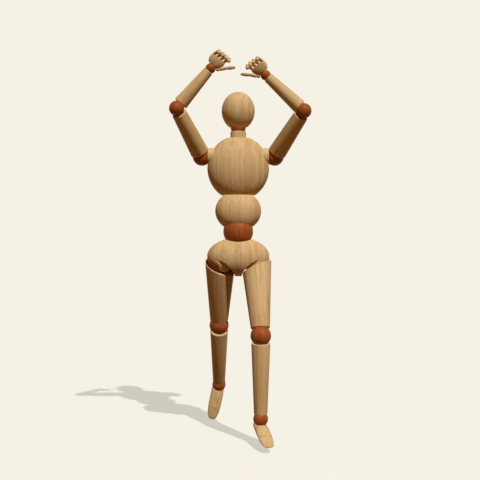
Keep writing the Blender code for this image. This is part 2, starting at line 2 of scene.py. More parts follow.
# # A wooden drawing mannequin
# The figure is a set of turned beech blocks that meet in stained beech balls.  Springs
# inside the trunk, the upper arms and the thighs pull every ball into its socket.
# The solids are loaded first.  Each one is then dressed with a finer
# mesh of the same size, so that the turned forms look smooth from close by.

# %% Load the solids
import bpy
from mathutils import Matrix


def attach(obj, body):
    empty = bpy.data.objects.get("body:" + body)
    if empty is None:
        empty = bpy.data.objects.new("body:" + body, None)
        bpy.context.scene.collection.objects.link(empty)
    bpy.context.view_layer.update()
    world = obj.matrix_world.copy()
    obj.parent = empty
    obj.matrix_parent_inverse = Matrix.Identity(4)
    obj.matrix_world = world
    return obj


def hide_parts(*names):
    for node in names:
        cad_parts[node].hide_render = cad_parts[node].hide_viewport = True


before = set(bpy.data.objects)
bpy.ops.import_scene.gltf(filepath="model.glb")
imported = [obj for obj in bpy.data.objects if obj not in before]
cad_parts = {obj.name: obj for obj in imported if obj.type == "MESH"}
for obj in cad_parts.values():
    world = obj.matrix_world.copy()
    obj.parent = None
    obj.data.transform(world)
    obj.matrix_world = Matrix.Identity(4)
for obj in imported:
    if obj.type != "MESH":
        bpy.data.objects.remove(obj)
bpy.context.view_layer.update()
import itertools
import math

import bmesh
import bpy
from mathutils import Matrix, Vector

# %% [markdown]
# ## One helper for colours and one for nodes
# Colours are picked as sRGB hex values, but a shader works in linear light, so one
# function converts them.  A second one adds a node, sets it and links it in one call,
# which keeps the materials short enough to read.


# %% Colour and node helpers
def linear(code):
    """Turn an sRGB hex code into linear RGBA."""
    parts = [int(code[i:i + 2], 16) / 255.0 for i in (1, 3, 5)]
    return [c / 12.92 if c <= 0.04045 else ((c + 0.055) / 1.055) ** 2.4 for c in parts] + [1.0]


def add(tree, kind, values=None, links=None, **settings):
    """Add a node with its settings, input values and links."""
    made = tree.nodes.new(kind)
    for key, value in settings.items():
        setattr(made, key, value)
    for key, value in (values or {}).items():
        made.inputs[key].default_value = value
    for key, (source, output) in (links or {}).items():
        tree.links.new(source.outputs[output], made.inputs[key])
    return made


def new_material(name):
    """Make an empty node material and return it with its tree and shader."""
    material = bpy.data.materials.new(name)
    material.use_nodes = True
    return material, material.node_tree, material.node_tree.nodes["Principled BSDF"]


# %% [markdown]
# ## Beech
# Beech is a pale, even wood.  A turned block shows its growth rings as long lines that
# run with the limb, fine fibres between them, and small darker flecks where the rays
# are cut.  The pattern has to follow each piece, also when the arm is raised, so every
# mesh carries an attribute called "grain": its own upright coordinates in millimetres.
# The rings are circles round a pith that lies well outside the block, stretched along
# the length so that they wander only slowly.

# %% Beech, turned, sanded and waxed
RING_MM = 5.6
PITH_MM = (78.0, 0.0)
FIBRE_MM = 0.9
FLECK_MM = 1.5
TOOL_MARK_MM = 0.8
# How much longer than wide: rings, fibres and flecks, as the share of their length that counts
RING_STRETCH = 0.035
FIBRE_STRETCH = 0.05
FLECK_STRETCH = 0.4


def ramp(tree, source, output, stops):
    """Add a colour ramp over a value, from (place, hex colour) stops."""
    made = add(tree, "ShaderNodeValToRGB", links={"Fac": (source, output)})
    made.color_ramp.elements.remove(made.color_ramp.elements[1])
    for i, (place, code) in enumerate(stops):
        stop = made.color_ramp.elements[0] if i == 0 else made.color_ramp.elements.new(place)
        stop.position = place
        stop.color = linear(code)
    return made


def wood(name, tones, line_tones, fleck, roughness, coat):
    """Wood with growth rings, fibres and ray flecks; tones run from early to late wood."""
    material, tree, shader = new_material(name)
    grain = add(tree, "ShaderNodeAttribute", attribute_name="grain")
    # Growth rings: one wave per ring, bent by slow noise
    long_way = add(tree, "ShaderNodeMapping",
                   values={"Location": (*PITH_MM, 0.0), "Rotation": (0.02, 0.03, 0.0),
                           "Scale": (1.0, 1.0, RING_STRETCH)},
                   links={"Vector": (grain, "Vector")})
    rings = add(tree, "ShaderNodeTexWave", wave_type="RINGS", rings_direction="Z", wave_profile="SAW",
                values={"Scale": 2.0 * math.pi / (20.0 * RING_MM), "Distortion": 1.5, "Detail": 1.0,
                        "Detail Scale": 0.55, "Detail Roughness": 0.55},
                links={"Vector": (long_way, "Vector")})
    ring_tone = ramp(tree, rings, "Fac", tones)
    # A ring's line fades in and out along the piece
    fade = add(tree, "ShaderNodeTexNoise", values={"Scale": 0.17, "Detail": 1.0},
               links={"Vector": (long_way, "Vector")})
    line_share = add(tree, "ShaderNodeMapRange",
                     values={"From Min": 0.44, "From Max": 0.64, "To Min": 0.05, "To Max": 0.68},
                     links={"Value": (fade, "Fac")})
    lined = add(tree, "ShaderNodeMix", data_type="RGBA", values={"A": linear(tones[1][1])},
                links={"Factor": (line_share, "Result"), "B": (ring_tone, "Color")})
    # Broad tone: some growth years are darker than others
    broad = add(tree, "ShaderNodeTexNoise", values={"Scale": 0.085, "Detail": 2.0},
                links={"Vector": (long_way, "Vector")})
    broad_tone = ramp(tree, broad, "Fac", line_tones)
    toned = add(tree, "ShaderNodeMix", data_type="RGBA", blend_type="MULTIPLY", values={"Factor": 1.0},
                links={"A": (lined, "Result"), "B": (broad_tone, "Color")})
    # Fibres: fine streaks about twenty times as long as wide
    thin_way = add(tree, "ShaderNodeMapping", values={"Scale": (1.0, 1.0, FIBRE_STRETCH)},
                   links={"Vector": (grain, "Vector")})
    fibre = add(tree, "ShaderNodeTexNoise", values={"Scale": 1.0 / FIBRE_MM, "Detail": 3.0, "Roughness": 0.6},
                links={"Vector": (thin_way, "Vector")})
    fibre_tone = ramp(tree, fibre, "Fac", ((0.30, "#e2dbcf"), (0.52, "#ffffff"), (0.75, "#f6f1e8")))
    streaked = add(tree, "ShaderNodeMix", data_type="RGBA", blend_type="MULTIPLY", values={"Factor": 0.85},
                   links={"A": (toned, "Result"), "B": (fibre_tone, "Color")})
    # Ray flecks: short dark ticks, two and a half times as long as wide
    fleck_way = add(tree, "ShaderNodeMapping", values={"Scale": (1.0, 1.0, FLECK_STRETCH)},
                    links={"Vector": (grain, "Vector")})
    flecks = add(tree, "ShaderNodeTexVoronoi", values={"Scale": 1.0 / FLECK_MM, "Randomness": 1.0},
                 links={"Vector": (fleck_way, "Vector")})
    fleck_share = add(tree, "ShaderNodeMapRange",
                      values={"From Min": 0.10, "From Max": 0.26, "To Min": 0.38, "To Max": 0.0},
                      links={"Value": (flecks, "Distance")})
    flecked = add(tree, "ShaderNodeMix", data_type="RGBA", values={"B": linear(fleck)},
                  links={"Factor": (fleck_share, "Result"), "A": (streaked, "Result")})
    tree.links.new(flecked.outputs["Result"], shader.inputs["Base Color"])
    # Sanded fibres scatter the gloss a little; the skew chisel leaves faint rings
    gloss = add(tree, "ShaderNodeMapRange",
                values={"From Min": 0.3, "From Max": 0.7,
                        "To Min": roughness - 0.06, "To Max": roughness + 0.08},
                links={"Value": (fibre, "Fac")})
    tree.links.new(gloss.outputs["Result"], shader.inputs["Roughness"])
    marks = add(tree, "ShaderNodeTexWave", wave_type="BANDS", bands_direction="Z",
                values={"Scale": 2.0 * math.pi / (20.0 * TOOL_MARK_MM), "Distortion": 1.5, "Detail": 1.0},
                links={"Vector": (grain, "Vector")})
    relief = add(tree, "ShaderNodeMix", data_type="FLOAT", values={"Factor": 0.2},
                 links={"A": (fibre, "Fac"), "B": (marks, "Fac")})
    bump = add(tree, "ShaderNodeBump", values={"Strength": 0.22, "Distance": 0.0002},
               links={"Height": (relief, "Result")})
    tree.links.new(bump.outputs["Normal"], shader.inputs["Normal"])
    shader.inputs["IOR"].default_value = 1.5
    shader.inputs["Specular IOR Level"].default_value = 0.08
    shader.inputs["Coat Weight"].default_value = coat
    shader.inputs["Coat Roughness"].default_value = 0.32
    return material


BEECH = wood("turned beech",
             ((0.0, "#d8bb8d"), (0.45, "#d5b787"), (0.78, "#cbaa73"), (0.93, "#a77d48"), (1.0, "#d0b07c")),
             ((0.30, "#ece3d4"), (0.50, "#ffffff"), (0.72, "#f3eadb")),
             "#b08755", 0.60, 0.0)
print("made", BEECH.name)

# %% [markdown]
# ## Stained beech
# The balls are the same wood, dipped in a red-brown stain and rubbed to a satin finish.
# The stain hides most of the rings, so the same tree is used with tones that lie closer
# together, and a thin coat gives the soft highlight on each ball.

# %% Stained beech and spring steel
STAINED = wood("satin stained beech",
               ((0.0, "#a55a2a"), (0.50, "#9f5525"), (0.85, "#924b1f"), (0.96, "#7f3f19"), (1.0, "#9c5324")),
               ((0.30, "#e8dccf"), (0.50, "#ffffff"), (0.72, "#f0e4d8")),
               "#7a3d18", 0.50, 0.04)

# Spring steel: drawn wire, bright grey, with fine lengthwise die lines in its gloss
WIRE_LINE_MM = 0.25
STEEL, steel_tree, steel_shader = new_material("drawn spring steel")
wire_place = add(steel_tree, "ShaderNodeAttribute", attribute_name="grain")
die_lines = add(steel_tree, "ShaderNodeTexNoise", values={"Scale": 1.0 / WIRE_LINE_MM, "Detail": 2.0},
                links={"Vector": (wire_place, "Vector")})
die_tone = ramp(steel_tree, die_lines, "Fac", ((0.35, "#8b8c8d"), (0.65, "#b4b3b0")))
die_gloss = add(steel_tree, "ShaderNodeMapRange",
                values={"From Min": 0.3, "From Max": 0.7, "To Min": 0.24, "To Max": 0.40},
                links={"Value": (die_lines, "Fac")})
steel_tree.links.new(die_tone.outputs["Color"], steel_shader.inputs["Base Color"])
steel_tree.links.new(die_gloss.outputs["Result"], steel_shader.inputs["Roughness"])
steel_shader.inputs["Metallic"].default_value = 1.0
print("made", STAINED.name, "and", STEEL.name)

# %% [markdown]
# ## How a turned piece is made
# On a lathe the maker cuts one profile, and the turning does the rest.  Here a profile is
# a list of (radius, height) points, and `lathe` spins it.  Every piece is built about its
# own joint centre with its length down -Z, exactly as the solids are, and is moved to its
# place at the end.  Before that move its own coordinates are kept as the grain.

# %% Profile helpers
FIT_SHARE = 0.027
FIT_GAP = 0.00018
SEAM_GAP = 0.0003
PEG_ROOM = 0.0004
FINE = 72


def socket_r(ball_r):
    """Radius of the socket that takes a ball."""
    return ball_r * (1.0 + FIT_SHARE) + FIT_GAP


def arc(centre, radius, start, stop, count):
    """Points (r, z) on a circle about the axis; angles in degrees from +Z."""
    angles = [math.radians(start + (stop - start) * i / count) for i in range(count + 1)]
    return [(radius * math.sin(a), centre + radius * math.cos(a)) for a in angles]


def angle_of_r(radius, r):
    """Angle from the axis where a circle has distance r from it."""
    return math.degrees(math.asin(r / radius))


def angle_of_z(radius, z):
    """Angle from the axis where a circle has height z over its centre."""
    return math.degrees(math.acos(z / radius))


def eased(r, z, size, start, stop):
    """Rounded edge of a rim: a quarter circle of this size, centred at (r, z)."""
    angles = [math.radians(start + (stop - start) * i / 6) for i in range(7)]
    return [(r + size * math.sin(a), z + size * math.cos(a)) for a in angles]


def turn(angle, axis):
    """Rotation about a named axis, in degrees."""
    return Matrix.Rotation(math.radians(angle), 4, axis)


def at(x, y, z):
    """Move to a point."""
    return Matrix.Translation((x, y, z))


# %% Mesh helpers
def to_mesh(name, bm):
    """Close a bmesh into a mesh whose faces point outwards."""
    bmesh.ops.recalc_face_normals(bm, faces=bm.faces[:])
    if bm.calc_volume(signed=True) < 0.0:
        bmesh.ops.reverse_faces(bm, faces=bm.faces[:])
    mesh = bpy.data.meshes.new(name)
    bm.to_mesh(mesh)
    bm.free()
    return mesh


def skin(bm, rings, closed):
    """Join rings of vertices with faces; a ring of one vertex is a pole."""
    pairs = list(zip(rings, rings[1:])) + ([(rings[-1], rings[0])] if closed else [])
    for a, b in pairs:
        n = max(len(a), len(b))
        for i in range(n):
            j = (i + 1) % n
            if len(a) == 1:
                bm.faces.new((a[0], b[j], b[i]))
            elif len(b) == 1:
                bm.faces.new((a[i], a[j], b[0]))
            else:
                bm.faces.new((a[i], a[j], b[j], b[i]))


def slant_ring(point, count, slant):
    """Points of one ring.  A third value is the share of the slant by which the ring turns
    about the centre; None keeps it round about Z and cuts it off at the slanted plane."""
    r, z = point[0], point[1]
    share = point[2] if len(point) > 2 else 0.0
    spots = []
    for i in range(count):
        a = 2.0 * math.pi * i / count
        spot = Vector((r * math.cos(a), r * math.sin(a), z))
        if share is None:
            lean = math.radians(slant)
            spot.z = z / math.cos(lean) - math.tan(lean) * spot.x
        else:
            spot = turn(slant * share, "Y") @ spot
        spots.append(spot)
    return spots


def lathe(name, profile, segments=FINE, closed=False, slant=0.0):
    """Spin a profile of (r, z) or (r, z, share of slant) about Z."""
    bm = bmesh.new()
    rings = []
    for point in profile:
        count = 1 if point[0] < 1e-7 else segments
        rings.append([bm.verts.new(spot) for spot in slant_ring(point, count, slant)])
    skin(bm, rings, closed)
    return to_mesh(name, bm)


def moved(mesh, matrix):
    """Apply a matrix to a mesh and hand it back."""
    mesh.transform(matrix)
    return mesh


def carve(mesh, *cutters):
    """Cut meshes out of a mesh, one after the other."""
    block = bpy.data.objects.new("block", mesh)
    bpy.context.scene.collection.objects.link(block)
    tools = []
    for cutter in cutters:
        tool = bpy.data.objects.new("cutter", cutter)
        bpy.context.scene.collection.objects.link(tool)
        cut = block.modifiers.new("cut", "BOOLEAN")
        cut.operation = "DIFFERENCE"
        cut.solver = "EXACT"
        cut.object = tool
        tools.append(tool)
    bpy.context.view_layer.update()
    graph = bpy.context.evaluated_depsgraph_get()
    result = bpy.data.meshes.new_from_object(block.evaluated_get(graph))
    for spare in tools + [block]:
        bpy.data.objects.remove(spare, do_unlink=True)
    return result


# %% Dress one solid with its finer piece
# Each piece is cut from another place of the plank, in millimetres; the places repeat
PLANK_STEP_MM = (11.3, 2.9, 31.0)
PLANK_PLACES = 7
grain_shift = 0


def dress(node, mesh, matrix, material, body=None, sharp=32.0):
    """Give a solid its finer mesh: keep its grain, put it in place and let it ride."""
    global grain_shift
    grain_shift += 1
    shift = Vector(PLANK_STEP_MM) * (grain_shift % PLANK_PLACES - PLANK_PLACES // 2)
    grain = mesh.attributes.new("grain", "FLOAT_VECTOR", "POINT")
    places = []
    for vertex in mesh.vertices:
        places.extend(vertex.co * 1000.0 + shift)
    grain.data.foreach_set("vector", places)
    mesh.transform(matrix)
    mesh.shade_smooth()
    mesh.set_sharp_from_angle(angle=math.radians(sharp))
    mesh.materials.clear()
    mesh.materials.append(material)
    mesh.name = node + "_fine"
    piece = bpy.data.objects.new(node + "_fine", mesh)
    bpy.context.scene.collection.objects.link(piece)
    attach(piece, body or node)
    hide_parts(node)
    return piece


# %% [markdown]
# ## Trunk
# Chest, abdomen and pelvis are turned eggs, flattened front to back.  The pelvis takes
# the waist ball on top and the two hip balls below, where the thighs need room to swing.
# That room is the hull of a thigh rim held at several angles, cut out of the egg.

# %% Trunk blocks
PELVIS_HALF = (0.0368, 0.0215, 0.0231)
PELVIS_Z = 0.0225
WAIST_R = 0.0176
WAIST_Z = 0.0526
ABDOMEN_HALF = (0.0271, 0.0194, 0.0240)
ABDOMEN_Z = 0.0768
CHEST_HALF = (0.0364, 0.0236, 0.0382)
CHEST_Z = 0.1272
TRUNK_SPLIT_Z = 0.0952
SPINE_BORE_R = 0.0040
SPINE_SOCKET_DEPTH = 0.0130


def egg(half, centre_z):
    """Egg-shaped block with three half axes."""
    mesh = lathe("egg", arc(0.0, 1.0, 0.0, 180.0, 64), 112)
    return moved(mesh, at(0.0, 0.0, centre_z) @ Matrix.Diagonal((*half, 1.0)))


def globe(radius, centre, segments=FINE, rows=36):
    """Ball-shaped cutter."""
    return moved(lathe("globe", arc(0.0, radius, 0.0, 180.0, rows), segments), at(*centre))


def rod(radius, start, stop, segments=48):
    """Round cutter between two points."""
    start, axis = Vector(start), Vector(stop) - Vector(start)
    mesh = lathe("rod", [(0.0, 0.0), (radius, 0.0), (radius, axis.length), (0.0, axis.length)], segments)
    return moved(mesh, Matrix.Translation(start) @ axis.to_track_quat("Z", "Y").to_matrix().to_4x4())


def slab(low, high):
    """Wide flat cutter between two heights."""
    return rod(0.1, (0.0, 0.0, low), (0.0, 0.0, high), 16)


waist_at = at(0.0, 0.0, WAIST_Z)
waist_mesh = lathe("waist_ball", arc(0.0, WAIST_R, 0.0, 180.0, 48), 96)
dress("waist_ball", waist_mesh, waist_at, STAINED)

abdomen_mesh = carve(egg(ABDOMEN_HALF, ABDOMEN_Z), slab(TRUNK_SPLIT_Z, 0.2),
                     globe(socket_r(WAIST_R), (0.0, 0.0, WAIST_Z), 96, 48),
                     rod(SPINE_BORE_R, (0.0, 0.0, WAIST_Z), (0.0, 0.0, CHEST_Z)))
dress("abdomen", moved(abdomen_mesh, at(0.0, 0.0, -WAIST_Z)), waist_at, BEECH)
print("abdomen faces:", len(abdomen_mesh.polygons))

# %% Chest with its pockets for the neck pin and the shoulder bosses
NECK_SEAT_Z = 0.1625
NECK_R = 0.0092
NECK_LIP_R = 0.0081
NECK_PIN_R = 0.0040
NECK_PIN_LENGTH = 0.0100
SHOULDER_X = 0.0428
SHOULDER_Z = 0.1410
BOSS_R = 0.0100
BOSS_INNER_X = 0.0262
POCKET_SHARE = 1.012

neck_hole_end = NECK_SEAT_Z - NECK_PIN_LENGTH - PEG_ROOM
chest_cuts = [slab(0.0, TRUNK_SPLIT_Z + SEAM_GAP), slab(NECK_SEAT_Z, 0.3),
              rod(SPINE_BORE_R, (0.0, 0.0, 0.05), (0.0, 0.0, TRUNK_SPLIT_Z + SPINE_SOCKET_DEPTH)),
              rod(NECK_PIN_R + PEG_ROOM, (0.0, 0.0, 0.19), (0.0, 0.0, neck_hole_end))]
for side in (1.0, -1.0):
    pocket = (side * (BOSS_INNER_X - SEAM_GAP), 0.0, SHOULDER_Z)
    chest_cuts.append(rod(BOSS_R * POCKET_SHARE + SEAM_GAP, pocket, (side * 0.06, 0.0, SHOULDER_Z), 72))
chest_mesh = carve(egg(CHEST_HALF, CHEST_Z), *chest_cuts)
chest_at = at(0.0, 0.0, TRUNK_SPLIT_Z)
dress("chest", moved(chest_mesh, chest_at.inverted()), chest_at, BEECH)
print("chest faces:", len(chest_mesh.polygons))

# %% Pelvis with its three sockets
HIP_X = 0.0218
HIP_Z = 0.0172
HIP_BALL_R = 0.0136
HIP_SEAT = 18.0
HIP_LIP_R = 0.0156
HIP_MOUTH_R = 0.0164
HIP_RIM = 0.0068
HIP_SLANT = 22.0
THIGH_TOP_R = 0.0172
HIP_SWEEP = (-23.0, -9.5, 4.0, 17.5, 31.0)
HIP_SPREAD = (-10.0, -4.5, 1.0)
HIP_TURN = (-5.0, 4.5, 14.0)
ROD_HOLE_R = 0.0020
ROD_HOLE_DEPTH = 0.0100
HIP_ROOM = 0.0006
SKIRT_TAPER = 0.0014
SKIRT_REACH = 0.0300


def swept(side, corners):
    """Hull of the space that rings in one thigh top sweep about the hip."""
    bm = bmesh.new()
    for swing, spread, twist in itertools.product(HIP_SWEEP, HIP_SPREAD, HIP_TURN):
        lean = turn(swing, "X") @ turn(side * spread, "Y") @ turn(side * twist, "Z")
        for corner in corners:
            for spot in slant_ring(corner, 40, -side * HIP_SLANT):
                bm.verts.new(lean @ spot)
    bmesh.ops.convex_hull(bm, input=bm.verts[:])
    spare = [v for v in bm.verts if not v.link_faces]
    bmesh.ops.delete(bm, geom=spare, context="VERTS")
    return to_mesh("thigh_room", bm)


pelvis_mesh = carve(egg(PELVIS_HALF, PELVIS_Z), globe(socket_r(WAIST_R), (0.0, 0.0, WAIST_Z), 96, 48))
seat_r = socket_r(HIP_BALL_R) * math.sin(math.radians(HIP_SEAT)) + HIP_ROOM
seat_z = socket_r(HIP_BALL_R) * math.cos(math.radians(HIP_SEAT)) - HIP_ROOM
reach = HIP_MOUTH_R / socket_r(HIP_BALL_R)
skirt_r = THIGH_TOP_R + HIP_ROOM
for side in (1.0, -1.0):
    hip_at = at(side * HIP_X, 0.0, HIP_Z)
    corners = ((seat_r, -seat_z), (seat_r * reach, -seat_z * reach), (seat_r, -SKIRT_REACH))
    seat = swept(side, corners)
    pelvis_mesh = carve(pelvis_mesh, globe(socket_r(HIP_BALL_R), hip_at.translation), moved(seat, hip_at))
    corners = ((skirt_r, -HIP_RIM + HIP_ROOM, None), (skirt_r - SKIRT_TAPER, -SKIRT_REACH))
    skirt = carve(swept(side, corners), globe(HIP_LIP_R, (0.0, 0.0, 0.0)))
    pelvis_mesh = carve(pelvis_mesh, moved(skirt, hip_at))
rod_hole = rod(ROD_HOLE_R, (0.0, 0.0, -0.01), (0.0, 0.0, ROD_HOLE_DEPTH))
pelvis_mesh = carve(pelvis_mesh, slab(-0.05, 0.0), rod_hole)
dress("pelvis", pelvis_mesh, Matrix.Identity(4), BEECH)
print("pelvis faces:", len(pelvis_mesh.polygons))

# %% [markdown]
# ## Neck and head
# The neck is a short turned post with a pin below and a shallow cup above.  The head ball
# sits in that cup and shows only as a thin stained band under the chin.  The head is a
# plain egg: its upper and lower halves are two ellipses that share their widest ring.

# %% Neck, head ball and head
HEAD_BALL_R = 0.0089
HEAD_BALL_RISE = 0.0125
HEAD_RIM = 0.0009
HEAD_R = 0.0195
HEAD_WIDEST_RISE = 0.0193
HEAD_CROWN = 0.0229
HEAD_JAW = 0.0224
HEAD_CHIN_TAPER = 0.03
NECK_EASE = 0.0006
PIN_CHAMFER = 0.0005

head_cup = socket_r(HEAD_BALL_R)
neck_rise = HEAD_BALL_RISE - SEAM_GAP
neck_lip = math.sqrt(head_cup ** 2 - NECK_LIP_R ** 2)
neck_profile = [(0.0, -NECK_PIN_LENGTH), (NECK_PIN_R - PIN_CHAMFER, -NECK_PIN_LENGTH)]
neck_profile += [(NECK_PIN_R, -NECK_PIN_LENGTH + PIN_CHAMFER), (NECK_PIN_R, 0.0), (NECK_R, 0.0)]
neck_profile += eased(NECK_R - NECK_EASE, neck_rise - neck_lip - NECK_EASE, NECK_EASE, 90.0, 0.0)
neck_profile += arc(neck_rise, head_cup, 180.0 - angle_of_r(head_cup, NECK_LIP_R), 180.0, 16)
dress("neck", lathe("neck", neck_profile), at(0.0, 0.0, NECK_SEAT_Z + SEAM_GAP), BEECH)

head_at = at(0.0, 0.0, NECK_SEAT_Z + HEAD_BALL_RISE)
dress("head_ball", lathe("head_ball", arc(0.0, HEAD_BALL_R, 0.0, 180.0, 36)), head_at, STAINED)

head_mid = HEAD_WIDEST_RISE
head_low = HEAD_RIM - head_mid
head_profile = arc(0.0, head_cup, 0.0, angle_of_z(head_cup, HEAD_RIM), 20)
for i in range(57):
    z = head_low + (HEAD_CROWN * 0.9995 - head_low) * (1.0 - math.cos(math.pi * i / 56)) / 2.0
    half = HEAD_CROWN if z > 0.0 else HEAD_JAW
    width = HEAD_R * math.sqrt(1.0 - (z / half) ** 2)
    width *= 1.0 - HEAD_CHIN_TAPER * min(z / half, 0.0) ** 2
    head_profile.append((width, head_mid + z))
head_profile.append((0.0, head_mid + HEAD_CROWN))
dress("head", lathe("head", head_profile, 96), head_at, BEECH)
print("head ring points:", len(head_profile))

# %% [markdown]
# ## Limbs
# A limb is a long cone with a cup at each end for the balls and a bore down its middle.
# The rims of the cups are eased with sandpaper, so a quarter circle replaces the sharp
# edge.  Balls on which a limb can turn have a peg that reaches into the bore.


# %% Limb and ball profiles
def limb(name, length, top, end, bore_r, bevel):
    """Tapered limb from its joint down to the next; top and end are (ball, rim, radius)."""
    cup_a, rim_a, r_a = socket_r(top[0]), top[1], top[2]
    cup_b, rim_b, r_b = socket_r(end[0]), end[1], end[2]
    profile = arc(0.0, cup_a, 180.0 - angle_of_r(cup_a, bore_r), angle_of_z(cup_a, -rim_a), 16)
    profile += eased(r_a - bevel, -rim_a - bevel, bevel, 0.0, 90.0)
    profile += eased(r_b - bevel, -length + rim_b + bevel, bevel, 90.0, 180.0)
    profile += arc(-length, cup_b, angle_of_z(cup_b, rim_b), angle_of_r(cup_b, bore_r), 16)
    return lathe(name, profile, closed=True)


def pegged_ball(name, radius, peg_r, peg_end):
    """Ball with a round peg down its -Z side."""
    profile = arc(0.0, radius, 0.0, 180.0 - angle_of_r(radius, peg_r), 36)
    profile += [(peg_r, -peg_end + 0.3 * peg_r), (0.7 * peg_r, -peg_end), (0.0, -peg_end)]
    return lathe(name, profile)


# Pose of the figure in degrees: (its left side, its right side)
ARM_SWING = (41.4, 39.8)
ARM_RAISE = (153.5, 157.8)
ARM_TWIST = (115.6, 119.6)
ELBOW_BEND = (81.8, 72.2)
FOREARM_TWIST = (-98.3, -100.1)
WRIST_BEND = (-5.2, -7.0)
WRIST_TILT = (9.0, 3.0)
SIDES = (("left", 1.0, 0), ("right", -1.0, 1))

# %% Arms
SHOULDER_BALL_R = 0.0109
BOSS_RIM = 0.0069
UPPER_ARM_L = 0.0700
UPPER_ARM_TOP_R = 0.0107
SHOULDER_RIM = 0.0066
ELBOW_BALL_R = 0.0086
ELBOW_RIM = 0.0068
UPPER_ARM_END_R = 0.0085
FOREARM_L = 0.0587
FOREARM_TOP_R = 0.0082
FOREARM_END_R = 0.0057
WRIST_BALL_R = 0.0058
WRIST_RIM = 0.0038
ARM_BORE_R = 0.0028
FOREARM_BORE_R = 0.0022
BOSS_EASE = 0.0010
UPPER_ARM_EASE = 0.0009
FOREARM_EASE = 0.0008
SHOULDER_PEG = 0.0060
ELBOW_PEG = 0.0050
upper_arm_at = {}
palm_at = {}

for tag, side, k in SIDES:
    cup = socket_r(SHOULDER_BALL_R)
    depth = SHOULDER_X - BOSS_INNER_X
    boss = [(0.0, -depth), (BOSS_R, -depth)]
    boss += eased(BOSS_R - BOSS_EASE, -BOSS_RIM - BOSS_EASE, BOSS_EASE, 90.0, 0.0)
    boss += arc(0.0, cup, angle_of_z(cup, -BOSS_RIM), 180.0, 18)
    boss_at = at(side * SHOULDER_X, 0.0, SHOULDER_Z) @ turn(ARM_SWING[k], "X")
    dress("shoulder_boss_" + tag, lathe("boss", boss), boss_at @ turn(side * 90.0, "Y"), BEECH)

    here = boss_at @ turn(-side * ARM_RAISE[k], "Y")
    ball = pegged_ball("ball", SHOULDER_BALL_R, ARM_BORE_R - PEG_ROOM, SHOULDER_BALL_R + SHOULDER_PEG)
    dress("shoulder_ball_" + tag, ball, here, STAINED)

    here = here @ turn(side * ARM_TWIST[k], "Z")
    upper_arm_at[tag] = here.copy()
    upper = limb("upper_arm", UPPER_ARM_L, (SHOULDER_BALL_R, SHOULDER_RIM, UPPER_ARM_TOP_R),
                 (ELBOW_BALL_R, ELBOW_RIM, UPPER_ARM_END_R), ARM_BORE_R, UPPER_ARM_EASE)
    dress("upper_arm_" + tag, upper, here, BEECH)

    here = here @ at(0.0, 0.0, -UPPER_ARM_L) @ turn(-ELBOW_BEND[k], "X")
    ball = pegged_ball("ball", ELBOW_BALL_R, FOREARM_BORE_R - PEG_ROOM, ELBOW_BALL_R + ELBOW_PEG)
    dress("elbow_ball_" + tag, ball, here, STAINED)

    here = here @ turn(side * FOREARM_TWIST[k], "Z")
    fore = limb("forearm", FOREARM_L, (ELBOW_BALL_R, ELBOW_RIM, FOREARM_TOP_R),
                (WRIST_BALL_R, WRIST_RIM, FOREARM_END_R), FOREARM_BORE_R, FOREARM_EASE)
    dress("forearm_" + tag, fore, here, BEECH)

    here = here @ at(0.0, 0.0, -FOREARM_L) @ turn(WRIST_BEND[k], "X")
    dress("wrist_ball_" + tag, lathe("ball", arc(0.0, WRIST_BALL_R, 0.0, 180.0, 32), 56), here, STAINED)
    palm_at[tag] = here @ turn(side * WRIST_TILT[k], "Y")
print("arm pieces dressed:", 6 * len(SIDES))

# %% [markdown]
# ## Hands
# A palm is not turned: it is carved from a small block that widens towards the knuckles.
# Stations along it give the half width, top and bottom, and a smooth curve through the
# stations gives the rings between them.  Each finger has two turned links.


# %% Carved blocks from stations
END_ROUND = 0.0010


def between(stations, steps):
    """Smooth rings between stations of numbers."""
    rows = []
    last = len(stations) - 1
    for i in range(last):
        p0, p1, p2, p3 = (stations[max(0, min(last, i + d))] for d in (-1, 0, 1, 2))
        for step in range(steps):
            t = step / steps
            row = []
            for a, b, c, d in zip(p0, p1, p2, p3):
                row.append(0.5 * (2 * b + (c - a) * t + (2 * a - 5 * b + 4 * c - d) * t ** 2
                                  + (3 * b - a - 3 * c + d) * t ** 3))
            rows.append(row)
    return rows + [list(stations[last])]


def carved_block(name, stations, power, ease, crown, segments=56, steps=6):
    """Block through stations of (y, half width, top, bottom), its two ends rounded over.
    A low power rounds the section; the upper half has a power of its own, the crown."""
    rows = between(stations, steps)
    bm = bmesh.new()
    rings = []

    def ring(y, half, top, bottom):
        mid, rise = 0.5 * (top + bottom), 0.5 * (top - bottom)
        verts = []
        for i in range(segments):
            a = 2.0 * math.pi * (i + 0.5) / segments
            c, s = math.cos(a), math.sin(a)
            bend = 2.0 / (crown if s > 0.0 else power)
            x = half * math.copysign(abs(c) ** bend, c)
            z = mid + rise * math.copysign(abs(s) ** bend, s)
            verts.append(bm.verts.new((x, y, z)))
        return verts

    for y, half, top, bottom in rows:
        near = min(abs(y - rows[0][0]), abs(y - rows[-1][0]))
        if near < END_ROUND:
            continue
        rings.append(ring(y, half, top, bottom))
    for end, where in ((rows[0], 0), (rows[-1], -1)):
        y, half, top, bottom = end
        inward = 1.0 if rings[len(rings) // 2][0].co.y > y else -1.0
        caps = []
        for i in range(7):
            a = math.radians(90.0 * i / 6)
            inset = ease * (1.0 - math.cos(a))
            depth = END_ROUND * (1.0 - math.sin(a))
            caps.append(ring(y + inward * depth, half - inset, top - inset, bottom + inset))
        rings = caps[::-1] + rings if where == 0 else rings + caps
    skin(bm, rings, False)
    bm.faces.new(rings[0])
    bm.faces.new(rings[-1])
    return to_mesh(name, bm)


